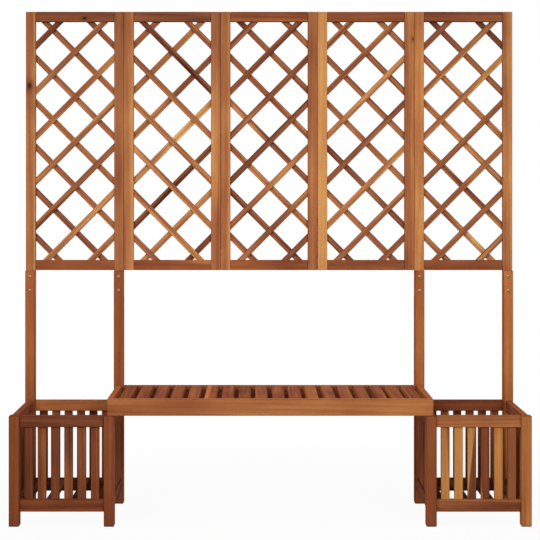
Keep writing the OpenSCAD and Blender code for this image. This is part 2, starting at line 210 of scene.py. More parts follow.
class Value:
    """A value inside a node tree. A sum of values makes Math nodes and is the last one's output."""

    def __init__(self, tree, socket):
        self.tree = tree
        self.socket = socket

    def __add__(self, other):
        return calc(self.tree, "ADD", self, other)

    def __sub__(self, other):
        return calc(self.tree, "SUBTRACT", self, other)

    def __mul__(self, other):
        return calc(self.tree, "MULTIPLY", self, other)

    def __truediv__(self, other):
        return calc(self.tree, "DIVIDE", self, other)


def fill(tree, node, values):
    """Fills some of a node's inputs, each with a plain value or with a value inside the tree."""
    for key, value in values.items():
        if isinstance(value, Value):
            tree.links.new(value.socket, node.inputs[key])
        else:
            node.inputs[key].default_value = value


def put(tree, kind, inputs=None, **settings):
    """Adds a node, sets its properties and fills its inputs."""
    made = tree.nodes.new(kind)
    for key, value in settings.items():
        setattr(made, key, value)
    fill(tree, made, inputs or {})
    return made


def get(tree, kind, inputs=None, output=0, **settings):
    """Adds a node, as put does, and returns one of its outputs."""
    return Value(tree, put(tree, kind, inputs, **settings).outputs[output])


def calc(tree, operation, *values, clamp=False):
    """The output of one Math node."""
    return get(tree, "ShaderNodeMath", dict(enumerate(values)), operation=operation, use_clamp=clamp)


def vector_calc(tree, operation, *values):
    """The output of one Vector Math node."""
    return get(tree, "ShaderNodeVectorMath", dict(enumerate(values)), operation=operation)


def split(vector):
    """The three numbers of a vector."""
    parts = put(vector.tree, "ShaderNodeSeparateXYZ", {0: vector}).outputs
    return [Value(vector.tree, part) for part in parts]


def joined(tree, *numbers):
    """The vector of three numbers."""
    return get(tree, "ShaderNodeCombineXYZ", dict(enumerate(numbers)))


print("helpers for node trees are ready")

# %% Helpers for node groups


def new_group(name, kind, inputs, outputs):
    """A node group with named sockets; returns it, its inputs by name, and its output node."""
    tree = bpy.data.node_groups.new(name, kind)
    for label, socket_type, value in inputs:
        socket = tree.interface.new_socket(label, in_out="INPUT", socket_type="NodeSocket" + socket_type)
        if value is not None:
            socket.default_value = value
    for label, socket_type in outputs:
        tree.interface.new_socket(label, in_out="OUTPUT", socket_type="NodeSocket" + socket_type)
    at = tree.nodes.new("NodeGroupInput")
    given = {label: Value(tree, at.outputs[label]) for label, *_ in inputs}
    return tree, given, tree.nodes.new("NodeGroupOutput")


def use(tree, group, inputs):
    """Places a group inside a tree, and returns its outputs by name."""
    placed = put(tree, group.bl_idname.replace("Tree", "Group"), inputs, node_tree=group)
    return {socket.name: Value(tree, socket) for socket in placed.outputs}


print("helpers for node groups are ready")

# %% [markdown]
# Wood is drawn with a few forms that come back in several groups. Noise is stretched along the board,
# because its factors are scales, small along the grain and large across it. It runs from 0 to 1, so it
# is often turned into a swing to both sides of zero. Edges rise smoothly, and spots fade like a bell.

# %% Helpers for patterns in wood
EULER = 2.718


def grain_noise(grain, scales, seed, **settings):
    """Noise with one scale along the board, one across it and one through it."""
    place = vector_calc(grain.tree, "MULTIPLY_ADD", grain, scales, seed)
    return get(grain.tree, "ShaderNodeTexNoise", {"Vector": place, "Scale": 1.0, **settings}, "Fac")


def swing(noise, amount):
    """Noise from 0 to 1, turned into a swing to both sides of zero."""
    return (noise - 0.5) * amount


def rise(value, low, high, kind="SMOOTHSTEP"):
    """0 at one value and 1 at another, which may also be the smaller one."""
    limits = {"Value": value, "From Min": low, "From Max": high}
    return get(value.tree, "ShaderNodeMapRange", limits, interpolation_type=kind)


def slant(one, two):
    """The length of a slanting line from its two sides."""
    return calc(one.tree, "SQRT", one * one + two * two)


def bell(value, narrowness=1.0):
    """1 where a value is 0, fading to both sides of it."""
    return calc(value.tree, "POWER", EULER, value * value * -narrowness)


print("helpers for patterns in wood are ready")

# %% [markdown]
# Growth rings. A tree lays one ring on another round its pith, so on a sawn face they show as lines
# where the board runs beside the pith and as long arches where it cuts across. Drawn stripes can't do
# both. This group measures each point's distance from the board's own pith, bends it a little with
# slow noise, and darkens the last part of each ring, more on some rings than on others.

# %% Shader group: growth rings
BENDS = (2.4, 16.0, 16.0)
TAPER = 0.012
# Where in a ring its dark late wood starts and is darkest, and how much of it the faintest ring has
LATE_START = 0.35
LATE_PEAK = 0.93
FAINTEST = 0.1

rings, given, out = new_group("growth_rings", "ShaderNodeTree",
                              (("Grain", "Vector", None), ("Pith", "Vector", (0.02, 0.05, 0.005)),
                               ("Seed", "Vector", None), ("Wander", "Float", 0.006)), (("Rings", "Float"),))
grain, pith, seed, wander = given.values()
along, across, through = split(grain)
pith_across, pith_through, pitch = split(pith)
bend = swing(grain_noise(grain, BENDS, seed, Detail=2.0, Roughness=0.45), wander)
side = across - pith_across + bend
depth = through - pith_through + bend
count = (slant(side, depth) + along * TAPER) / pitch
part = calc(rings, "FRACT", count)
late = rise(part, LATE_START, LATE_PEAK) * rise(part, 1.0, LATE_PEAK, "LINEAR")
year = get(rings, "ShaderNodeTexWhiteNoise", {"W": calc(rings, "FLOOR", count)}, "Value",
           noise_dimensions="1D")
strength = calc(rings, "MULTIPLY_ADD", year, 1 - FAINTEST, FAINTEST)
fill(rings, out, {"Rings": late * strength})
print("growth rings:", len(rings.nodes), "nodes")

# %% [markdown]
# Fibres and pores. Close up, acacia is drawn with fine lines a fraction of a millimetre wide, and its
# open pores are short dark dashes. Both are noise that is stretched strongly along the board.

# %% Shader group: fibres and pores
FINE_LINES = (14.0, 620.0, 620.0)
DASHES = (75.0, 1500.0, 1500.0)
PORE_FROM = 0.60
PORE_FULL = 0.70

fibres, given, out = new_group("fibres_and_pores", "ShaderNodeTree",
                               (("Grain", "Vector", None), ("Seed", "Vector", None)),
                               (("Fibres", "Float"), ("Pores", "Float")))
grain, seed = given.values()
dash = grain_noise(grain, DASHES, seed, Detail=1.0)
fill(fibres, out, {"Fibres": grain_noise(grain, FINE_LINES, seed, Detail=3.0, Roughness=0.6),
                   "Pores": rise(dash, PORE_FROM, PORE_FULL, "LINEAR")})
print("fibres and pores:", len(fibres.nodes), "nodes")

# %% [markdown]
# Knots. A knot is the foot of a branch: a dark, nearly round core with a darker rim, and the grain
# flows round it. This group pushes the points near a knot sideways before the rings are drawn, so
# that they part round it, and gives a mask for the core. A board without a knot has radius 0.

# %% Shader group: knot
NO_KNOT = 0.0001
KNOT_LENGTH = 1.6
# How fast the push sideways fades, and how strong it is beside the knot
KNOT_FADE = 0.16
KNOT_PUSH = 0.75
# The core, in radii from its edge to where it is darkest, and the shares of the core and the rim
CORE_EDGE = 1.6
CORE_DARK = 0.4
CORE_SHARE = 0.6
RIM_SHARE = 0.4

knots, given, out = new_group("branch_knot", "ShaderNodeTree",
                              (("Grain", "Vector", None), ("Knot", "Vector", None)),
                              (("Grain", "Vector"), ("Core", "Float")))
grain, knot = given.values()
along, across, through = split(grain)
knot_along, knot_across, radius = split(knot)
radius = calc(knots, "MAXIMUM", radius, NO_KNOT)
aside = across - knot_across
reach = slant((along - knot_along) / KNOT_LENGTH, aside) / radius
fade = bell(reach, KNOT_FADE)
pushed = calc(knots, "MULTIPLY_ADD", aside * fade, -KNOT_PUSH, across)
core = rise(reach, CORE_EDGE, CORE_DARK) * CORE_SHARE
rim = fade * calc(knots, "LESS_THAN", 2 * NO_KNOT, radius)
fill(knots, out, {"Grain": joined(knots, along, pushed, through),
                  "Core": calc(knots, "MULTIPLY_ADD", rim, RIM_SHARE, core)})
print("branch knot:", len(knots.nodes), "nodes")

# %% [markdown]
# The wood itself. Acacia is valued for how much one board differs from the next, and for broad streaks
# along the grain, so a board's tone is its own value plus streaks, clouds and rings, looked up on one
# ramp from umber to honey. Mixing separate textures for each tone would need one material per board.
# The group gives colour, roughness and height; the shader stays in each material.

# %% Shader group: oiled acacia
# Colours as they look on the screen, from 0 to 255
ACACIA_RAMP = ((0.00, (60, 33, 23)), (0.14, (86, 47, 33)), (0.28, (112, 64, 44)),
               (0.42, (134, 79, 52)), (0.58, (158, 99, 62)), (0.74, (182, 123, 74)),
               (0.88, (201, 149, 89)), (1.00, (216, 173, 112)))
SEED_STEP = (7.3, 11.9, 5.1)


def screen(red, green, blue):
    """A screen colour from 0 to 255, as the linear colour that a node takes."""
    return tuple((c / 255 / 12.92 if c / 255 <= 0.04045 else ((c / 255 + 0.055) / 1.055) ** 2.4)
                 for c in (red, green, blue)) + (1.0,)


def stored(tree, name, output="Vector"):
    """A value that the boards' points carry."""
    return get(tree, "ShaderNodeAttribute", output=output, attribute_name=name, attribute_type="GEOMETRY")


def colour_mix(tree, factor, first, second, blend="MIX"):
    """Two colours mixed, or the first one multiplied by the second, by a factor."""
    return get(tree, "ShaderNodeMix", {0: factor, 6: first, 7: second}, 2, data_type="RGBA",
               blend_type=blend)


wood, given, out = new_group("oiled_acacia", "ShaderNodeTree",
                             (("Streaks", "Float", 0.5), ("Rings", "Float", 0.2), ("Fibres", "Float", 0.15),
                              ("Oil", "Float", 0.42)),
                             (("Color", "Color"), ("Roughness", "Float"), ("Height", "Float")))
streaks_by, rings_by, fibres_by, oil = given.values()
seed = get(wood, "ShaderNodeVectorMath", {0: SEED_STEP, "Scale": stored(wood, "seed", "Fac")},
           operation="SCALE")
knot = use(wood, knots, {"Grain": stored(wood, "grain"), "Knot": stored(wood, "knot")})
grain = knot["Grain"]
ring = use(wood, rings, {"Grain": grain, "Pith": stored(wood, "pith"), "Seed": seed})["Rings"]
fibre = use(wood, fibres, {"Grain": grain, "Seed": seed})
print("the three smaller groups are placed in the wood")

# %% Shader group: oiled acacia, the tone of each point
STREAKS = (0.9, 55.0, 55.0)
CLOUDS = (4.5, 13.0, 13.0)
CLOUDS_BY = 0.42
# How far streaks and clouds make the sapwood's line ragged, and how much darker a knot's core is
RAGGED = 0.012
KNOT_DARK = 0.5

heart, sap, lively = split(stored(wood, "tones"))
line, drift, soft = split(stored(wood, "sap_line"))
middle, half, paler = split(stored(wood, "pale"))
along, across, _ = split(grain)
streak = swing(grain_noise(grain, STREAKS, seed, Detail=3.0, Roughness=0.62), streaks_by)
cloud = swing(grain_noise(grain, CLOUDS, seed, Detail=2.0), CLOUDS_BY)

beyond = across - line - along * drift + (streak + cloud) * RAGGED
sapwood = rise(beyond / soft, -0.5, 0.5)
tone = get(wood, "ShaderNodeMix", {0: sapwood, 2: heart, 3: sap}, data_type="FLOAT")
# A paler stretch along the board; a negative amount darkens it instead, and near the front legs' feet that
# darkening is painted shade
tone = calc(wood, "MULTIPLY_ADD", bell((along - middle) / half), paler, tone)
tone = calc(wood, "MULTIPLY_ADD", streak + (cloud - ring * rings_by), lively, tone)
tone = tone + swing(fibre["Fibres"], fibres_by)
tone = calc(wood, "SUBTRACT", tone, knot["Core"] * KNOT_DARK, clamp=True)
print("tone:", len(wood.nodes), "nodes so far")

# %% Shader group: oiled acacia, colour
RED_CAST = (1.0, 0.81, 0.68, 1.0)
RED_PATCHES = (2.0, 20.0, 20.0)
RED_SWING = 0.9
ELSEWHERE = (31.0, 17.0, 5.0)
# How much pores, end grain and sanded arrises take of their darker tints. End grain drinks more oil;
# the arrises' tint is partly oil and partly painted shade on the rounded edges and in the seams
DARKER = {"pores": (0.30, (0.30, 0.24, 0.22, 1.0)), "end": (0.8, (0.62, 0.55, 0.52, 1.0)),
          "arris": (0.65, (0.55, 0.50, 0.48, 1.0))}

ramp = put(wood, "ShaderNodeValToRGB", {"Fac": tone})
stops = ramp.color_ramp.elements
for stop, (position, colour) in zip(stops, (ACACIA_RAMP[0], ACACIA_RAMP[-1])):
    stop.position = position
    stop.color = screen(*colour)
for position, colour in ACACIA_RAMP[1:-1]:
    stops.new(position).color = screen(*colour)

# A red cast comes and goes along a board, and some boards have more of it
warm = grain_noise(grain, RED_PATCHES, vector_calc(wood, "ADD", seed, ELSEWHERE), Detail=1.0)
cast = calc(wood, "MULTIPLY_ADD", warm, RED_SWING, -RED_SWING / 2)
cast = calc(wood, "ADD", cast, stored(wood, "red", "Fac"), clamp=True)
colour = colour_mix(wood, cast, Value(wood, ramp.outputs["Color"]), RED_CAST, "MULTIPLY")
end_grain = stored(wood, "end", "Fac")
# The arris mask darkens every eased edge: partly oil, partly painted shade along the rounded edges
masks = {"pores": fibre["Pores"], "end": end_grain, "arris": stored(wood, "arris", "Fac")}
for name, (share, tint) in DARKER.items():
    colour = colour_mix(wood, masks[name] * share, colour, tint, "MULTIPLY")
print("colour:", len(wood.nodes), "nodes so far")

# %% Shader group: oiled acacia, roughness and height
CLOUD_ROUGHER = 0.25
PORE_ROUGHER = 0.25
END_ROUGHER = 0.2
FIBRES_RISE = 0.45
PORES_SINK = 0.6
RINGS_SINK = 0.5

rough = oil + cloud * CLOUD_ROUGHER + fibre["Pores"] * PORE_ROUGHER
rough = calc(wood, "ADD", rough, end_grain * END_ROUGHER, clamp=True)
height = fibre["Fibres"] * FIBRES_RISE - fibre["Pores"] * PORES_SINK - ring * RINGS_SINK
fill(wood, out, {"Color": colour, "Roughness": rough, "Height": height})
print("oiled acacia:", len(wood.nodes), "nodes")

# %% [markdown]
# Four finishes use the wood group, one for each slot of the record. They share the tree but not its
# values: dark heartwood has strong rings and drinks its oil, pale sapwood is calmer and a bit glossier.
# The Principled shader is set in the material itself, because a group may only put out what changes
# over the surface.

# %% Wood materials
WOOD_FINISHES = {
    "acacia_umber": {"Streaks": 0.46, "Rings": 0.13, "Fibres": 0.16, "Oil": 0.62},
    "acacia_russet": {"Streaks": 0.46, "Rings": 0.12, "Fibres": 0.15, "Oil": 0.60},
    "acacia_amber": {"Streaks": 0.46, "Rings": 0.11, "Fibres": 0.14, "Oil": 0.58},
    "acacia_honey": {"Streaks": 0.42, "Rings": 0.10, "Fibres": 0.13, "Oil": 0.56},
}
OIL_SHEEN = 0.004
GRAIN_STRENGTH = 0.35
GRAIN_DEPTH = 0.0004


def new_material(name):
    """A material with nodes; returns it with its tree and its shader."""
    material = bpy.data.materials.new(name)
    material.use_nodes = True
    return material, material.node_tree, material.node_tree.nodes["Principled BSDF"]


def wood_material(name, values):
    """A wood finish: the acacia group with this finish's values, and a shader of its own."""
    material, tree, shader = new_material(name)
    acacia = use(tree, wood, values)
    bump = get(tree, "ShaderNodeBump", {"Strength": GRAIN_STRENGTH, "Distance": GRAIN_DEPTH,
                                        "Height": acacia["Height"]})
    fill(tree, shader, {"Base Color": acacia["Color"], "Roughness": acacia["Roughness"], "Normal": bump,
                        "Specular IOR Level": OIL_SHEEN})
    return material


materials = {name: wood_material(name, values) for name, values in WOOD_FINISHES.items()}
print("wood finishes:", ", ".join(materials))

# %% [markdown]
# The fixings are steel with a yellow passivated zinc coat, which gives them a dull brassy look. A plain
# metal colour looks like a toy; slow noise between two yellows and fine scratches that change the
# roughness make it a plated part.

# %% Plated fixings material
DULL_YELLOW = (128, 108, 78)
PALE_YELLOW = (160, 140, 104)
BLUSH = 260.0
SCRATCHES = (900.0, 900.0, 5200.0)
PLATE_ROUGH = 0.42
SCRATCH_ROUGHER = 0.30

plated, tree, shader = new_material("zinc_yellow")
place = get(tree, "ShaderNodeTexCoord", output="Object")
blush = get(tree, "ShaderNodeTexNoise", {"Vector": place, "Scale": BLUSH, "Detail": 2.0}, "Fac")
stretched = vector_calc(tree, "MULTIPLY", place, SCRATCHES)
scratch = get(tree, "ShaderNodeTexNoise", {"Vector": stretched, "Scale": 1.0, "Detail": 1.0}, "Fac")
bump = get(tree, "ShaderNodeBump", {"Strength": 0.2, "Distance": 0.0001, "Height": scratch})
fill(tree, shader, {"Base Color": colour_mix(tree, blush, screen(*DULL_YELLOW), screen(*PALE_YELLOW)),
                    "Roughness": calc(tree, "MULTIPLY_ADD", scratch, SCRATCH_ROUGHER, PLATE_ROUGH),
                    "Normal": bump, "Metallic": 1.0})
materials["zinc_yellow"] = plated
print("plated fixings:", len(tree.nodes), "nodes")

# %% [markdown]
# Finishing a piece. Whatever made it, a piece ends as a plain mesh at the origin: the modifiers are
# evaluated and removed, then the piece rides on the frame's one body and replaces its CAD node. Each
# piece takes its finish where it is made, the boards from the slot that the record gives their node.
# Weighted normals keep the wide faces flat while the narrow rounded edges catch the light.

# %% Finish a piece


def new_object(name, mesh):
    """A new object in the scene, at the origin."""
    made = bpy.data.objects.new(name, mesh)
    bpy.context.scene.collection.objects.link(made)
    return made


def plain_piece(piece):
    """Replaces a piece's mesh by its evaluated one and removes its modifiers."""
    normals = piece.modifiers.new("flat faces", "WEIGHTED_NORMAL")
    normals.keep_sharp = True
    graph = bpy.context.evaluated_depsgraph_get()
    shown = piece.evaluated_get(graph)
    mesh = bpy.data.meshes.new_from_object(shown, preserve_all_data_layers=True, depsgraph=graph)
    mesh.name = piece.name
    piece.modifiers.clear()
    piece.data = mesh
    return piece


def hand_over(piece, node):
    """Puts a finished piece in the place of its CAD node."""
    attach(piece, "root")
    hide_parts(node)
    return piece


print("pieces will take", len(set(slot_of.values())), "finishes from the record")

# %% [markdown]
# Sawn and planed timber never has a knife edge: every arris is eased with a pass of sandpaper. The
# legs, rails, stiles and aprons differ in their mortises, notches and tenons, so the CAD already has
# their right shape. Each is copied, and a Bevel modifier eases its outward edges only, because an
# inside corner of a joint stays sharp.

# %% Ease the edges of the sawn boards
EASE = 0.0017
ROUNDING_STEPS = 2
SHORT_EDGE = 0.012
CLEAR_CORNER = math.radians(30)


def ease_edges(node):
    """A copy of a CAD node with its outward edges eased, but not those round a hole or a small spot."""
    bm = merged_copy(node)
    weight = bm.edges.layers.float.new("bevel_weight_edge")
    for edge in bm.edges:
        outward = edge.is_manifold and edge.is_convex and edge.calc_face_angle() > CLEAR_CORNER
        if outward and edge.calc_length() > SHORT_EDGE:
            edge[weight] = 1.0
    for face in bm.faces:
        face.smooth = True
    piece = new_object(node + "_dressed", bpy.data.meshes.new(node + "_dressed"))
    bm.to_mesh(piece.data)
    bm.free()
    bevel = piece.modifiers.new("eased edges", "BEVEL")
    bevel.limit_method = "WEIGHT"
    bevel.width = EASE
    bevel.segments = ROUNDING_STEPS
    return plain_piece(piece)


print("edges are eased by", EASE * 1000, "mm")

# %% [markdown]
# The eased copy then gets its grain. The longest side of a board is the way it grew, so each point's
# place along, across and through the board follows from the board's box. Faces that look along the
# grain are end grain, and faces that look along no side are the eased arrises.

# %% Store the grain on the sawn boards
END_FACING = 0.8
SIDE_FACING = 0.999


def dress_boards(node, *looks):
    """Eases a CAD node's edges and gives each board in it a look, from left to right."""
    piece = ease_edges(node)
    mesh = piece.data
    bm = bmesh.new()
    bm.from_mesh(mesh)
    groups = islands(bm)
    assert len(groups) == len(looks), f"{node} holds {len(groups)} boards, not {len(looks)}"
    grain_at = np.zeros((len(mesh.vertices), 3))
    owner = np.zeros(len(mesh.vertices), int)
    lengthwise = []
    for number, group in enumerate(groups):
        low, high = box_of(group)
        axes = sorted(range(3), key=lambda axis: (-round(high[axis] - low[axis], 4), axis))
        lengthwise.append(axes[0])
        for vert in group:
            owner[vert.index] = number
            grain_at[vert.index] = [vert.co[axis] - (low[axis] + high[axis]) / 2 for axis in axes]
    bm.free()
    ends = [abs(f.normal[lengthwise[owner[f.vertices[0]]]]) > END_FACING for f in mesh.polygons]
    store(mesh, "grain", grain_at)
    store_looks(mesh, [board_values(node, number, one) for number, one in enumerate(looks)], owner)
    store(mesh, "end", ends, "FACE")
    store(mesh, "arris", [max(abs(v) for v in f.normal) < SIDE_FACING for f in mesh.polygons], "FACE")
    mesh.materials.clear()
    mesh.materials.append(materials[slot_of[node]])
    return hand_over(piece, node)


print("a board's grain comes from its own box")

# %% [markdown]
# The two planters. Their legs and rails come from the same trees, but the maker mixed dark and pale
# boards freely, and the photograph shows which stands where: the left planter is mostly russet and
# brown, while the right one's outer leg is paler than all the other legs and rails.

# %% Planter legs and rails
# The three front legs with a negative pale amount low down are darker towards the foot: painted shade where
# the light falls off towards the floor
LEGS = {
    "left_front_outer_leg": look("russet-copper", figure=0.6, red=0.9, pale=(-0.2, 0.07, -0.05)),
    "left_front_inner_leg": look("russet", sap="russet-copper", line=0.004, soft=0.02, figure=0.6, red=0.95,
                                 pale=(-0.2, 0.1, -0.04)),
    "left_back_outer_post": look("copper-amber", figure=0.6, red=0.8, pale=(-0.08, 0.1, -0.08)),
    "left_back_inner_post": look("copper", figure=0.6, red=0.8, pale=(0.36, 0.16, -0.1)),
    "right_front_inner_leg": look("russet-copper", figure=0.6, red=1.0, pale=(-0.2, 0.1, -0.03)),
    "right_front_outer_leg": look("gold", sap="gold-honey", line=0.0, soft=0.01, figure=0.8, red=0.7,
                                  pale=(0.17, 0.07, -0.1)),
    "right_back_inner_post": look("russet", sap="amber", line=-0.0145, soft=0.003, figure=0.7, red=1.0,
                                  pale=(0.38, 0.1, -0.07)),
    "right_back_outer_post": look("copper", sap="amber-gold", line=-0.0135, soft=0.004, figure=0.6, red=1.0),
}
RAILS = {
    "left_front_top_rail": changing("chestnut", "brown-chestnut", soft=0.2, figure=0.8, red=0.35),
    "left_back_top_rail": look("copper-amber", sap="amber-gold", line=0.002, soft=0.04, figure=0.9, red=0.6,
                               pale=(-0.14, 0.07, 0.07)),
    "left_front_bottom_rail": look("chestnut", sap="russet-copper", line=0.004, drift=-0.02, soft=0.03,
                                   red=0.8),
    "left_outer_top_rail": look("russet", red=0.6),
    "right_outer_top_rail": look("russet-copper", red=0.6),
    "right_front_top_rail": look("amber", sap="copper-amber", line=0.006, soft=0.01, figure=0.9, red=0.35,
                                 pale=(0.14, 0.05, 0.06)),
    "right_back_top_rail": changing("chestnut", "brown-chestnut", at=-0.1, soft=0.1, figure=0.8, red=0.65),
    "right_front_bottom_rail": look("chestnut", sap="copper", drift=0.06, line=0.0, soft=0.03, figure=1.1,
                                    red=0.2),
}
for side in ("left", "right"):
    RAILS[f"{side}_inner_top_rail"] = look("chestnut", red=0.5)
    RAILS[f"{side}_outer_bottom_rail"] = look("chestnut", red=0.6)
    for place in ("back", "inner"):
        RAILS[f"{side}_{place}_bottom_rail"] = look("brown", red=0.6)
    dress_boards(side + "_floor_battens", look("brown"), look("umber"))
for node, one in {**LEGS, **RAILS}.items():
    dress_boards(node, one)
print("dressed", len(LEGS), "legs and posts,", len(RAILS), "rails and 4 battens")

# %% [markdown]
# The seat's frame. The front apron is the longest board in view and the one with the most to see: its
# upper part and its left end are copper, and towards its lower edge and its right end it turns to
# golden sapwood. One line across the board, with a drift and a soft edge, gives that.

# %% Seat frame
dress_boards("seat_front_apron", look("copper-amber-amber", sap="amber-gold-gold", line=0.006, drift=0.08,
                                      soft=-0.06, figure=0.9, red=0.5))
dress_boards("seat_back_apron", look("russet-copper", figure=0.8, red=0.7))
for side in ("left", "right"):
    dress_boards(f"seat_{side}_end", look("copper", red=0.8, figure=0.6))
dress_boards("seat_battens", look("chestnut", red=0.5), look("chestnut", red=0.5))
print("the seat's frame has its aprons, ends and battens")

# %% [markdown]
# The trellis frames. Five panels stand side by side, and each stile and rail has a tone of its own:
# the palest stile is the fourth panel's left one. Three knots show, on the first panel's top rail and
# left stile, and near the top of the fourth panel's right stile.

# %% Trellis frames
STILES = {
    1: (look("amber", sap="gold", line=0.010, soft=0.008, figure=0.9, red=0.15, knot=(0.253, -0.004, 0.007)),
        look("copper-amber", figure=0.8, red=0.0, pale=(0.5, 0.1, -0.14))),
    2: (look("amber", sap="gold", line=0.002, drift=0.01, soft=0.02, figure=0.8, red=0.0,
             pale=(0.48, 0.14, -0.12)),
        look("copper", sap="russet", line=0.007, soft=0.012, figure=0.9, red=0.05, pale=(0.0, 0.27, 0.27))),
    3: (look("copper-amber", sap="amber-gold", line=0.008, soft=0.01, figure=0.9, pale=(0.03, 0.16, 0.06)),
        look("copper-amber", sap="copper", line=0.008, soft=0.014, figure=0.9, red=0.03)),
    4: (look("gold-honey", figure=0.5, red=0.0),
        look("copper", sap="amber-gold", line=0.003, drift=-0.02, soft=0.012, figure=1.0, red=0.2,
             knot=(0.377, 0.013, 0.003), pale=(-0.42, 0.15, -0.1))),
    5: (look("gold", figure=0.8, red=0.3, pale=(0.48, 0.12, -0.08)),
        look("copper-amber", sap="gold", line=0.004, soft=0.02, figure=0.9, red=0.0,
             pale=(-0.05, 0.32, 0.12))),
}
PANEL_RAILS = {
    1: (changing("copper", "russet", soft=0.2, figure=0.8, red=0.7),
        look("chestnut-russet", figure=0.8, red=0.2, knot=(0.036, -0.005, 0.0035), pale=(0.3, 0.32, -0.03))),
    2: (look("russet", sap="amber", line=0.02, drift=-0.11, soft=0.01, figure=0.8, red=0.7),
        look("russet", figure=0.9)),
    3: (changing("russet-copper", "chestnut-russet", soft=0.15, figure=0.8, red=0.7),
        look("copper", sap="chestnut-russet", line=-0.002, soft=0.025, figure=0.9, red=0.8)),
    4: (look("russet", figure=0.9, red=0.6), look("russet", figure=0.8, red=0.5)),
    5: (look("russet-copper", figure=0.9, red=0.6),
        changing("chestnut", "russet", soft=0.15, figure=0.9, red=0.35)),
}
for panel in range(1, 6):
    dress_boards(f"panel_{panel}_stiles", *STILES[panel])
    dress_boards(f"panel_{panel}_rails", *PANEL_RAILS[panel])
print("dressed", 2 * len(STILES), "stiles and", 2 * len(PANEL_RAILS), "panel rails")

# %% [markdown]
# What repeats is made by Geometry Nodes. All of it starts from one eased bar: a rectangle with
# filleted corners is swept along a straight line and capped. The bar stores its own grain, its end
# faces and its arrises, so a board made here reads the wood in the same way as a sawn one.

# %% Geometry Nodes: an eased bar
SOFT_CORNER = math.radians(60)
BAR_IN = (("Length", "Float", 0.3), ("Width", "Float", 0.03), ("Thickness", "Float", 0.01),
          ("Ease", "Float", 0.001))

bar, given, out = new_group("eased_bar", "GeometryNodeTree", BAR_IN, (("Mesh", "Geometry"),))
length, width, thickness, ease = given.values()
section = get(bar, "GeometryNodeCurvePrimitiveQuadrilateral", {"Width": width, "Height": thickness})
section = get(bar, "GeometryNodeFilletCurve", {"Curve": section, "Count": ROUNDING_STEPS, "Radius": ease},
              mode="POLY")
half = length * 0.5
axis = get(bar, "GeometryNodeCurvePrimitiveLine", {"Start": joined(bar, 0.0, 0.0, half * -1.0),
                                                   "End": joined(bar, 0.0, 0.0, half)})
swept = get(bar, "GeometryNodeCurveToMesh", {"Curve": axis, "Profile Curve": section, "Fill Caps": True})
print("eased bar:", len(bar.nodes), "nodes so far")

# %% Geometry Nodes: an eased bar, its grain, end faces and arrises


def remember(geometry, name, value, kind="FLOAT", domain="FACE"):
    """Stores a named attribute inside a tree."""
    return get(geometry.tree, "GeometryNodeStoreNamedAttribute",
               {"Geometry": geometry, "Name": name, "Value": value}, data_type=kind, domain=domain)


across, through, along = split(get(bar, "GeometryNodeInputPosition"))
side_x, side_y, end_z = split(vector_calc(bar, "ABSOLUTE", get(bar, "GeometryNodeInputNormal")))
facing = calc(bar, "MAXIMUM", side_x, calc(bar, "MAXIMUM", side_y, end_z))
swept = remember(swept, "grain", joined(bar, along, across, through), "FLOAT_VECTOR", "POINT")
swept = remember(swept, "end", calc(bar, "GREATER_THAN", end_z, END_FACING))
swept = remember(swept, "arris", calc(bar, "LESS_THAN", facing, SIDE_FACING))
gentle = calc(bar, "LESS_THAN", get(bar, "GeometryNodeInputMeshEdgeAngle"), SOFT_CORNER)
swept = get(bar, "GeometryNodeSetShadeSmooth", {"Geometry": swept, "Selection": gentle}, domain="EDGE")
fill(bar, out, {"Mesh": swept})
print("eased bar:", len(bar.nodes), "nodes")

# %% [markdown]
# A row of boards is that bar set on points. The points come from the frame, one in the middle of each
# board, and carry the board's look and its turn; when the instances are realized, each board keeps
# the values of its point. So one small tree makes wall slats, floor boards and seat slats alike.

# %% Geometry Nodes: a row of boards


def recall(tree, name, kind="FLOAT_VECTOR"):
    """Reads a named attribute inside a tree."""
    return get(tree, "GeometryNodeInputNamedAttribute", {"Name": name}, data_type=kind)


def set_on_points(points, one):
    """Copies of one thing, set on points and turned as each point says."""
    turn = get(points.tree, "FunctionNodeEulerToRotation", {0: recall(points.tree, "turn")})
    return get(points.tree, "GeometryNodeInstanceOnPoints", {"Points": points, "Instance": one,
                                                             "Rotation": turn})


def end_tree(geometry, material, out):
    """Ends a tree: its copies become real and take their material."""
    real = get(geometry.tree, "GeometryNodeRealizeInstances", {0: geometry})
    clad = get(geometry.tree, "GeometryNodeSetMaterial", {"Geometry": real, "Material": material})
    fill(geometry.tree, out, {"Mesh": clad})


row, given, out = new_group("row_of_boards", "GeometryNodeTree",
                            (("Places", "Geometry", None),) + BAR_IN + (("Wood", "Material", None),),
                            (("Mesh", "Geometry"),))
one = use(row, bar, {label: given[label] for label, *_ in BAR_IN})["Mesh"]
end_tree(set_on_points(given["Places"], one), given["Wood"], out)


def run_tree(name, tree, places, values, rows=None, **stored_values):
    """Runs a tree on one point for each place and returns the result as a plain piece."""
    mesh = bpy.data.meshes.new(name)
    mesh.from_pydata([tuple(place) for place in places], [], [])
    if rows:
        store_looks(mesh, rows, np.arange(len(rows)))
    for key, data in stored_values.items():
        store(mesh, key, data)
    piece = new_object(name, mesh)
    modifier = piece.modifiers.new("made by nodes", "NODES")
    modifier.node_group = tree
    for item in tree.interface.items_tree:
        if item.in_out == "INPUT" and item.name in values:
            modifier[item.identifier] = values[item.name]
    return plain_piece(piece)


print("row of boards:", len(row.nodes), "nodes")

# %% [markdown]
# The wall slats stand in the mortises of the rails, six in front, six at the back and seven in each
# side. Only the front ones face the viewer, and each of those has a tone that can be told apart, the
# right planter's being the liveliest: one is half honey and half brown, another turns gold at its foot.

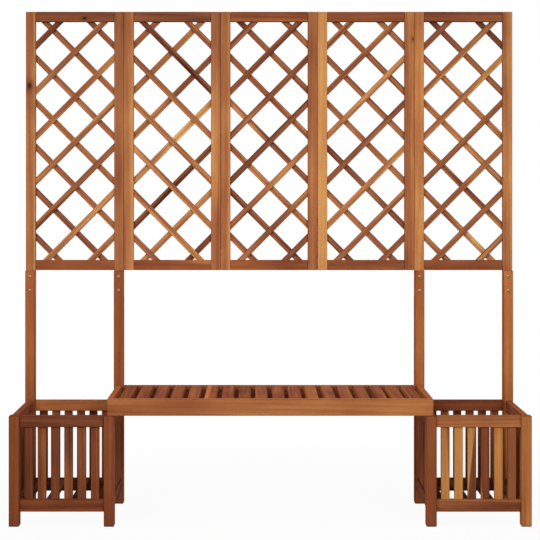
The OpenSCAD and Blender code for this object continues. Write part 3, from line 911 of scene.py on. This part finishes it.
# %% Wall slats
FRONT_SLATS = {
    "left": (look("chestnut-russet", figure=0.8, red=0.7),
             look("chestnut-russet", sap="russet-copper", line=0.002, drift=0.02, figure=1.1, red=0.4),
             look("chestnut", sap="brown-chestnut", line=0.004, drift=0.02, soft=0.01, red=0.4),
             changing("russet-copper", "chestnut", at=0.0, soft=0.1, red=0.5),
             look("russet", sap="russet-copper", line=-0.002, soft=0.008, red=0.4),
             look("chestnut-russet", red=0.8)),
    "right": (look("gold-honey", sap="copper-amber", line=0.01, drift=-0.05, soft=0.004, red=0.6),
              look("honey", figure=0.6, red=0.75),
              look("gold-honey", sap="chestnut", line=-0.002, drift=0.1, soft=0.004, red=0.2),
              look("chestnut", sap="gold", line=-0.019, drift=-0.08, soft=-0.003, red=0.5),
              look("gold-honey", figure=0.7, red=0.8), look("copper", figure=0.8, red=0.35)),
}
BACK_WORDS = ("brown", "copper", "brown", "chestnut", "brown", "russet")
SIDE_WORDS = ("chestnut", "russet", "chestnut", "brown", "russet", "chestnut", "russet")


def wall_slats(side):
    """One planter's wall slats, made from the places and sizes of the CAD's."""
    node = side + "_wall_slats"
    waiting = {"front": iter(FRONT_SLATS[side]),
               "back": iter([look(word, red=0.5) for word in BACK_WORDS]),
               "side": iter([look(word, red=0.6) for word in SIDE_WORDS * 2])}
    places, rows, turns = [], [], []
    for number, (low, high) in enumerate(solids(node)):
        size = high - low
        across_x = size.x > size.y
        wall = "side" if not across_x else ("front" if low.y < 0 else "back")
        places.append((low + high) / 2)
        rows.append(board_values(node, number, next(waiting[wall])))
        turns.append((0, 0, 0 if across_x else 90))
    values = {"Length": size.z, "Width": max(size.x, size.y), "Thickness": min(size.x, size.y), "Ease": EASE,
              "Wood": materials[slot_of[node]]}
    return hand_over(run_tree(node + "_dressed", row, places, values, rows, turn=np.radians(turns)), node)


for side in ("left", "right"):
    piece = wall_slats(side)
    print(piece.name, len(piece.data.polygons), "faces")

# %% [markdown]
# The seat slats and the floor boards lie from front to back, so they use the same tree with the bar
# turned down. The seat slats are russet with greyer and redder patches. The sixth from the left is
# bright coral over nearly half its width, and a few have a pale edge. They are rounded more than the
# rest, since people sit on them, and have shrunk a little: the photograph shows wide dark slots.

# %% Seat slats and floor boards
LYING = (90, 0, 0)
SEAT_EASE = 0.0032
SHRUNK = 0.002


def lying_boards(node, looks, ease=EASE, shrunk=0.0):
    """Boards that run from front to back, made from the places and sizes of the CAD's."""
    boxes = solids(node)
    size = boxes[0][1] - boxes[0][0]
    rows = [board_values(node, number, looks[number % len(looks)]) for number in range(len(boxes))]
    values = {"Length": size.y, "Width": size.x - shrunk, "Thickness": size.z, "Ease": ease,
              "Wood": materials[slot_of[node]]}
    places = [(low + high) / 2 for low, high in boxes]
    piece = run_tree(node + "_dressed", row, places, values, rows, turn=np.radians([LYING] * len(boxes)))
    return hand_over(piece, node)


SEAT_SLATS = (
    look("chestnut-russet", red=0.8), look("chestnut-russet", red=0.8), look("russet", red=0.8, figure=1.1),
    look("russet", sap="copper", line=-0.012, soft=-0.004, red=0.9), look("russet", red=0.6, figure=1.3),
    look("gold", sap="russet", line=-0.004, soft=0.012, red=1.0), look("russet", red=0.8),
    look("russet", red=0.7), look("russet", sap="amber-gold", line=-0.018, soft=-0.005, red=0.5),
    look("russet", sap="copper", line=-0.018, soft=-0.005, red=0.7),
    look("russet", sap="amber-gold", line=-0.018, soft=-0.005, red=0.7, figure=1.1),
    look("copper-amber", red=0.6), look("russet", red=0.5),
    look("russet", sap="amber", line=0.017, soft=0.005, red=0.6), look("chestnut-russet", red=0.5),
    look("russet", red=0.7, figure=1.2), look("russet", sap="amber", line=-0.018, soft=-0.004, red=0.7),
    look("russet", sap="amber", line=-0.016, soft=-0.004, red=0.7),
)
piece = lying_boards("seat_slats", SEAT_SLATS, SEAT_EASE, SHRUNK)
print(piece.name, len(piece.data.polygons), "faces")
FLOOR_BOARDS = (look("umber"), look("brown"), look("umber"), look("brown"))
for side in ("left", "right"):
    lying_boards(side + "_floor_boards", FLOOR_BOARDS)

# %% [markdown]
# The lattice. Each panel has two layers of thin strips: one slants up to the right, the other up to
# the left, and all are cut off along the frame. Since that follows a rule, one tree makes a whole
# layer. Each strip starts as a bar of length 1, and its points are then moved: where the strip's edge
# meets the frame's left or right side, or its top or bottom, comes from the line's own equation.

# %% Geometry Nodes: a layer of the lattice
LAYER_IN = (("Places", "Geometry", None), ("Net Width", "Float", 0.3), ("Net Height", "Float", 0.9),
            ("Slope", "Float", 1.0), ("Strip Width", "Float", 0.02), ("Strip Thickness", "Float", 0.005),
            ("Ease", "Float", 0.0006), ("Turn", "Float", 0.0), ("Middle", "Vector", None),
            ("Wood", "Material", None))
layer, given, out = new_group("lattice_layer", "GeometryNodeTree", LAYER_IN, (("Mesh", "Geometry"),))
one = use(layer, bar, {"Length": 1.0, "Width": given["Strip Width"], "Thickness": given["Strip Thickness"],
                       "Ease": given["Ease"]})["Mesh"]
strips = get(layer, "GeometryNodeInstanceOnPoints", {"Points": given["Places"], "Instance": one})
strips = get(layer, "GeometryNodeRealizeInstances", {0: strips})

slope = given["Slope"]
stretch = calc(layer, "SQRT", calc(layer, "MULTIPLY_ADD", slope, slope, 1.0))
along, across, through = split(recall(layer, "grain"))
height = calc(layer, "MULTIPLY_ADD", across, stretch, recall(layer, "shift", "FLOAT"))
half_w = given["Net Width"] * 0.5
half_h = given["Net Height"] * 0.5
start = calc(layer, "MAXIMUM", (half_h * -1.0 - height) / slope, half_w * -1.0)
stop = calc(layer, "MINIMUM", (half_h - height) / slope, half_w)
x = calc(layer, "MULTIPLY_ADD", stop - start, along + 0.5, start)
z = calc(layer, "MULTIPLY_ADD", x, slope, height)
moved = joined(layer, x, through, z)
grain = joined(layer, x * stretch, across, through)
print("lattice layer:", len(layer.nodes), "nodes so far")

# %% [markdown]
# The points are moved before their grain is written anew, because the old grain says which end of the
# bar a point belongs to. The layer that slants the other way is the same one turned half round about
# the vertical: a mirrored one would come out with its faces inside out.

# %% Geometry Nodes: a layer of the lattice, put in its place
strips = remember(strips, "moved", moved, "FLOAT_VECTOR", "POINT")
strips = remember(strips, "grain", grain, "FLOAT_VECTOR", "POINT")
strips = get(layer, "GeometryNodeSetPosition", {"Geometry": strips, "Position": recall(layer, "moved")})
strips = get(layer, "GeometryNodeRemoveAttribute", {"Geometry": strips, "Name": "moved"})
turn = get(layer, "FunctionNodeEulerToRotation", {0: joined(layer, 0.0, 0.0, given["Turn"])})
strips = get(layer, "GeometryNodeTransform", {"Geometry": strips, "Translation": given["Middle"],
                                              "Rotation": turn})
end_tree(strips, given["Wood"], out)
print("lattice layer:", len(layer.nodes), "nodes")

# %% [markdown]
# Seventy strips, each with its own tone. They are named from the top of the panel down. They were laid
# by hand, so each sits up to 4 mm off its even place. In the second panel the layers are swapped, as in
# the photograph: there the strips that slant up to the left lie in front.

# %% Lattice strips
ROW_PITCH = 0.1657
COLUMN_PITCH = 0.164
STRIP_WIDTH = 0.0215
STRIP_EASE = 0.001
RISING = {
    1: "copper>russet amber-gold amber amber-gold copper-amber>russet-copper amber>gold amber",
    2: "copper-amber copper gold>chestnut amber-gold>gold chestnut>russet amber-gold russet>brown-chestnut",
    3: ("russet russet-copper>chestnut-russet russet-copper brown-chestnut>chestnut-russet "
        "russet>copper-amber amber>gold umber>brown"),
    4: "amber copper-amber amber-gold russet-copper gold>honey copper-amber russet-copper",
    5: ("russet-copper copper-amber>copper copper-amber>amber-gold chestnut-russet>amber-gold "
        "copper-amber russet-copper>chestnut russet"),
}
FALLING = {
    1: ("russet-copper amber russet-copper copper-amber>amber-gold "
        "copper-amber copper-amber>russet-copper amber>russet"),
    2: "copper-amber umber-brown>chestnut-russet copper-amber amber-gold>gold gold amber copper",
    3: ("amber chestnut-russet amber>copper russet-copper>copper-amber "
        "copper-amber copper>chestnut-russet amber"),
    4: "gold russet-copper russet-copper amber>gold brown-chestnut amber brown-chestnut>russet-copper",
    5: ("chestnut-russet amber>russet copper-amber copper-amber "
        "copper-amber gold-honey>russet-copper russet-copper>amber-gold"),
}
# How many millimetres a strip sits above its even place, in the same order
RISING_OFF = {
    1: (1, -1, -4, -4, -4, -4, -4),
    2: (2, 0, -3, -4, -4, -3, -4),
    3: (-2, -4, -4, -4, -4, -4, -4),
    4: (-1, -4, -4, -4, -4, -3, -4),
    5: (-2, -4, -4, -4, -4, -4, -4),
}
FALLING_OFF = {
    1: (1, -3, -4, -4, -3, -1, -4),
    2: (1, -1, -3, -3, -4, -4, -4),
    3: (4, 1, 0, -1, 0, 1, 0),
    4: (-2, -4, -4, -4, -4, -4, -3),
    5: (2, -4, -4, -4, -3, -2, -3),
}
print("strips of", round(STRIP_WIDTH * 1000, 1), "mm, every", round(ROW_PITCH * 1000, 1), "mm")

# %% Lattice strips, made and put in place


def strip_middle(shift, slope, width, height):
    """How far along a strip its own middle lies from where it crosses the panel's upright centre line."""
    start = max((-height / 2 - shift) / slope, -width / 2)
    stop = min((height / 2 - shift) / slope, width / 2)
    return (start + stop) / 2 * math.hypot(1, slope)


def strip_look(words, middle):
    """The look of a strip from one tone, or from two joined by > that change from its lower end up."""
    lower, _, upper = words.partition(">")
    return changing(lower, upper or lower, at=middle, soft=0.16, figure=1.7, red=-0.2)


def lattice_layer(panel, place, rising):
    """One layer of a panel's lattice, inside the box of the CAD's."""
    node = f"panel_{panel}_{place}_strips"
    low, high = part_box(node)
    size = high - low
    slope = ROW_PITCH / COLUMN_PITCH
    words = (RISING if rising else FALLING)[panel].split()
    off = (RISING_OFF if rising else FALLING_OFF)[panel]
    top = (len(words) - 1) / 2
    shifts = [(top - number) * ROW_PITCH + off[number] / 1000 for number in range(len(words))]
    rows = []
    for number, (word, shift) in enumerate(zip(words, shifts)):
        middle = strip_middle(shift, slope, size.x, size.z)
        rows.append(board_values(node, number, strip_look(word, middle)))
    values = {"Net Width": size.x, "Net Height": size.z, "Slope": slope, "Strip Width": STRIP_WIDTH,
              "Strip Thickness": size.y, "Ease": STRIP_EASE, "Turn": 0.0 if rising else math.pi,
              "Middle": (low + high) / 2, "Wood": materials[slot_of[node]]}
    piece = run_tree(node + "_dressed", layer, [(0, 0, 0)] * len(rows), values, rows, shift=shifts)
    return hand_over(piece, node)


for panel in range(1, 6):
    front_rises = panel != 2
    piece = lattice_layer(panel, "front", front_rises)
    lattice_layer(panel, "back", not front_rises)
print("lattice: 10 layers, each with", len(piece.data.polygons), "faces")

# %% [markdown]
# The fixings. Eight domed bolts hold the trellis to the posts and are the only ones that show; behind
# them sit threaded inserts, and hidden wood screws join the panels and hold the seat. All are round,
# so each is turned like on a lathe: rings of points from one end to the other, where the ring of a key
# socket follows a hexagon or a square. A tree then sets the turned piece on points, as with the boards.

# %% Turn a fixing on a lathe
SIDES = 24
CREASE = math.radians(35)


def socket_ring(corners, across_flats):
    """The radius of a key socket at an angle, for a number of corners and a width across flats."""
    sector = 2 * math.pi / corners
    return lambda angle: across_flats / 2 / math.cos(angle % sector - sector / 2)


def turned(name, rings, hollow=False):
    """A round solid along Z from rings of (radius, height); a hollow one closes on itself."""
    bm = bmesh.new()
    loops = []
    for radius, at_height in rings:
        loop = []
        for i in range(SIDES):
            angle = 2 * math.pi * i / SIDES
            r = radius(angle) if callable(radius) else radius
            loop.append(bm.verts.new((r * math.cos(angle), r * math.sin(angle), at_height)))
        loops.append(loop)
    pairs = list(zip(loops, loops[1:])) + ([(loops[-1], loops[0])] if hollow else [])
    for one, two in pairs:
        for i in range(SIDES):
            bm.faces.new((one[i - 1], one[i], two[i], two[i - 1]))
    if not hollow:
        bm.faces.new(loops[0])
        bm.faces.new(loops[-1])
    bmesh.ops.recalc_face_normals(bm, faces=bm.faces)
    for face in bm.faces:
        face.smooth = True
    for edge in bm.edges:
        edge.smooth = edge.calc_face_angle() < CREASE
    mesh = bpy.data.meshes.new(name)
    bm.to_mesh(mesh)
    bm.free()
    return bpy.data.objects.new(name, mesh)


print("fixings are turned with", SIDES, "sides")

# %% Geometry Nodes: a row of fixings
fixing_row, given, out = new_group("row_of_fixings", "GeometryNodeTree",
                                   (("Places", "Geometry", None), ("Fixing", "Object", None),
                                    ("Metal", "Material", None)), (("Mesh", "Geometry"),))
template = get(fixing_row, "GeometryNodeObjectInfo", {"Object": given["Fixing"]}, "Geometry")
end_tree(set_on_points(given["Places"], template), given["Metal"], out)


def heads_of(node, axis, inwards=0.0):
    """Where each fixing of a CAD node has its head, this far in along its axis, and a fixing's size."""
    boxes = solids(node)
    places = []
    for low, high in boxes:
        place = (low + high) / 2
        place[axis] = low[axis] + inwards
        places.append(place)
    return places, boxes[0][1] - boxes[0][0]


def set_fixings(node, template, places, turn):
    """Sets a turned fixing at each place, and hands the row over in place of its CAD node."""
    values = {"Fixing": template, "Metal": materials["zinc_yellow"]}
    piece = run_tree(node + "_dressed", fixing_row, places, values, turn=np.radians([turn] * len(places)))
    print(piece.name, len(places), "pieces,", len(piece.data.polygons), "faces")
    return hand_over(piece, node)


# %% Bolts and inserts
BOLT_HEAD = 0.0034
BOLT_SHANK = 0.003
BOLT_KEY = 0.004
BOLT_TIP = (0.001, 0.0008)
HEAD_RIM = 0.0005
KEY_DEPTH = 0.3
# The rings of the dome, as shares of the head's radius
DOME_RINGS = (0.42, 0.56, 0.7, 0.82, 0.92, 1.0)
CHAMFER = 0.0004
ALONG_Y = (-90, 0, 0)

places, size = heads_of("post_bolts", 1, BOLT_HEAD)
head_radius = size.x / 2
rise_of_dome = BOLT_HEAD - HEAD_RIM
dome = (head_radius ** 2 + rise_of_dome ** 2) / (2 * rise_of_dome)


def dome_height(radius):
    """How far a point of the bolt's dome lies from the head's seat."""
    return dome - BOLT_HEAD - math.sqrt(dome ** 2 - radius ** 2)


hexagon = socket_ring(6, BOLT_KEY)
shank_end = size.y - BOLT_HEAD
bolt = turned("bolt", [(hexagon, -KEY_DEPTH * BOLT_HEAD), (hexagon, dome_height(BOLT_KEY / 2))]
              + [(r * head_radius, dome_height(r * head_radius)) for r in DOME_RINGS]
              + [(head_radius, 0), (BOLT_SHANK, 0), (BOLT_SHANK, shank_end - BOLT_TIP[0]),
                 (BOLT_SHANK - BOLT_TIP[1], shank_end)])
set_fixings("post_bolts", bolt, places, ALONG_Y)

places, size = heads_of("post_inserts", 1)
bore = 1.05 * BOLT_SHANK
outside = size.x / 2
insert = turned("insert", [(bore, 0), (outside - CHAMFER, 0), (outside, CHAMFER),
                           (outside, size.y - CHAMFER), (outside - CHAMFER, size.y),
                           (bore + CHAMFER, size.y), (bore, size.y - CHAMFER)], hollow=True)
set_fixings("post_inserts", insert, places, ALONG_Y)

# %% Wood screws
SCREW_HEAD = 0.0026
SCREW_CORE = 0.00225
SCREW_KEY = 0.0026
SCREW_TIP = (0.005, 0.0003)
# The screw's head, as shares of its radius and of its height
PAN_HEAD = ((0.7, 1.0), (0.92, 0.8), (1.0, 0.45), (1.0, 0.0))
SOCKET_DEPTH = 0.6
ALONG_X = (0, 90, 0)
UPRIGHT = (0, 0, 0)
square = socket_ring(4, SCREW_KEY)


def wood_screw(name, length, head_radius):
    """A pan headed wood screw with a square key socket and a pointed tip."""
    head = [(wide * head_radius, -high * SCREW_HEAD) for wide, high in PAN_HEAD]
    return turned(name, [(square, (SOCKET_DEPTH - 1) * SCREW_HEAD), (square, -SCREW_HEAD)] + head
                  + [(SCREW_CORE, 0), (SCREW_CORE, length - SCREW_TIP[0]), (SCREW_TIP[1], length)])


places, size = heads_of("panel_screws", 0, SCREW_HEAD)
set_fixings("panel_screws", wood_screw("panel_screw", size.x - SCREW_HEAD, size.y / 2), places, ALONG_X)
places, size = heads_of("seat_screws", 2, SCREW_HEAD)
set_fixings("seat_screws", wood_screw("seat_screw", size.z - SCREW_HEAD, size.x / 2), places, UPRIGHT)

# %% [markdown]
# The studio. The photograph shows the bench on pure white. To get there without flooding the wood with
# light, the floor and the world are white only to the camera and in reflections. Near the bench the
# floor keeps a little of its own shading, so a faint shadow grounds the feet; further out it is white.

# %% Floor
FLOOR_REACH = 9.0
FLOOR_GREY = (0.75, 0.75, 0.75, 1.0)
WHITE = (1.0, 1.0, 1.0, 1.0)
SHADOW_NEAR = 0.9
SHADOW_FAR = 2.2
SHADOW_SHARE = 0.05


def seen_directly(tree):
    """1 for camera, mirror and glass rays, 0 for light that only bounces."""
    path = put(tree, "ShaderNodeLightPath").outputs
    camera_ray, mirror_ray, glass_ray = [Value(tree, path[f"Is {kind} Ray"])
                                         for kind in ("Camera", "Glossy", "Transmission")]
    return calc(tree, "MAXIMUM", calc(tree, "MAXIMUM", camera_ray, mirror_ray), glass_ray)


floor_mesh = bpy.data.meshes.new("floor")
corners = [(x * FLOOR_REACH, y * FLOOR_REACH, 0) for x, y in ((-1, -1), (1, -1), (1, 1), (-1, 1))]
floor_mesh.from_pydata(corners, [], [(0, 1, 2, 3)])
floor = new_object("floor", floor_mesh)
pale, tree, _ = new_material("pale_floor")
tree.nodes.clear()
place = get(tree, "ShaderNodeTexCoord", output="Object")
away = get(tree, "ShaderNodeVectorMath", {0: place}, "Value", operation="LENGTH")
shaded = get(tree, "ShaderNodeMapRange", {"Value": away, "From Min": SHADOW_NEAR, "From Max": SHADOW_FAR,
                                          "To Min": SHADOW_SHARE, "To Max": 0.0},
             interpolation_type="SMOOTHSTEP")
share = calc(tree, "SUBTRACT", 1.0, shaded) * seen_directly(tree)
diffuse = get(tree, "ShaderNodeBsdfDiffuse", {"Color": FLOOR_GREY})
white = get(tree, "ShaderNodeEmission", {"Color": WHITE, "Strength": 1.0})
mixed = get(tree, "ShaderNodeMixShader", {0: share, 1: diffuse, 2: white})
put(tree, "ShaderNodeOutputMaterial", {"Surface": mixed})
floor_mesh.materials.append(pale)
print("floor of", 2 * FLOOR_REACH, "m")

# %% World
WORLD_FILL = 0.33

world = bpy.data.worlds.new("studio")
world.use_nodes = True
tree = world.node_tree
tree.nodes.clear()
strength = calc(tree, "MULTIPLY_ADD", seen_directly(tree), 1.0 - WORLD_FILL, WORLD_FILL)
backdrop = get(tree, "ShaderNodeBackground", {"Color": WHITE, "Strength": strength})
put(tree, "ShaderNodeOutputWorld", {"Surface": backdrop})
bpy.context.scene.world = world
bpy.context.scene.view_settings.view_transform = "Standard"
print("a white studio that lights the wood at", WORLD_FILL)

# %% [markdown]
# Five soft lamps. The key stands left of the camera and above it, the fill right of it, and both are
# long and low soft boxes with a grid, so that shadows are soft sideways and the trellis' middle is a
# little brighter than its top and the feet, as in the photograph. One overhead lifts the seat and the
# tops of the rails, and two low ones behind keep the back from going dark. Their power is set so that
# a board's front renders about as its colour is written.

# %% Lamps
# Each lamp's place, what it points at, its sides, its spread in degrees and its power in watts
LAMPS = {
    "key": ((-2.6, -3.2, 3.1), (-0.2, 0.0, 1.0), (2.6, 0.5), 44, 9.6),
    "fill": ((2.7, -3.4, 2.8), (0.2, 0.0, 1.0), (2.6, 0.5), 44, 8.5),
    "overhead": ((0.0, -1.0, 3.6), (0.0, 0.0, 0.6), (2.4, 1.6), 120, 18.0),
    "behind left": ((-3.2, 3.4, 0.9), (-0.2, 0.2, 1.0), (1.6, 0.8), 50, 6.5),
    "behind right": ((3.2, 3.4, 0.9), (0.2, 0.2, 1.0), (1.6, 0.8), 50, 6.5),
}
for name, (place, target, sides, spread, power) in LAMPS.items():
    lamp = bpy.data.lights.new(name, "AREA")
    lamp.shape = "RECTANGLE"
    lamp.size, lamp.size_y = sides
    lamp.spread = math.radians(spread)
    lamp.energy = power
    holder = new_object(name, lamp)
    holder.location = place
    holder.rotation_euler = (Vector(target) - Vector(place)).to_track_quat("-Z", "Y").to_euler()
print(len(LAMPS), "lamps")
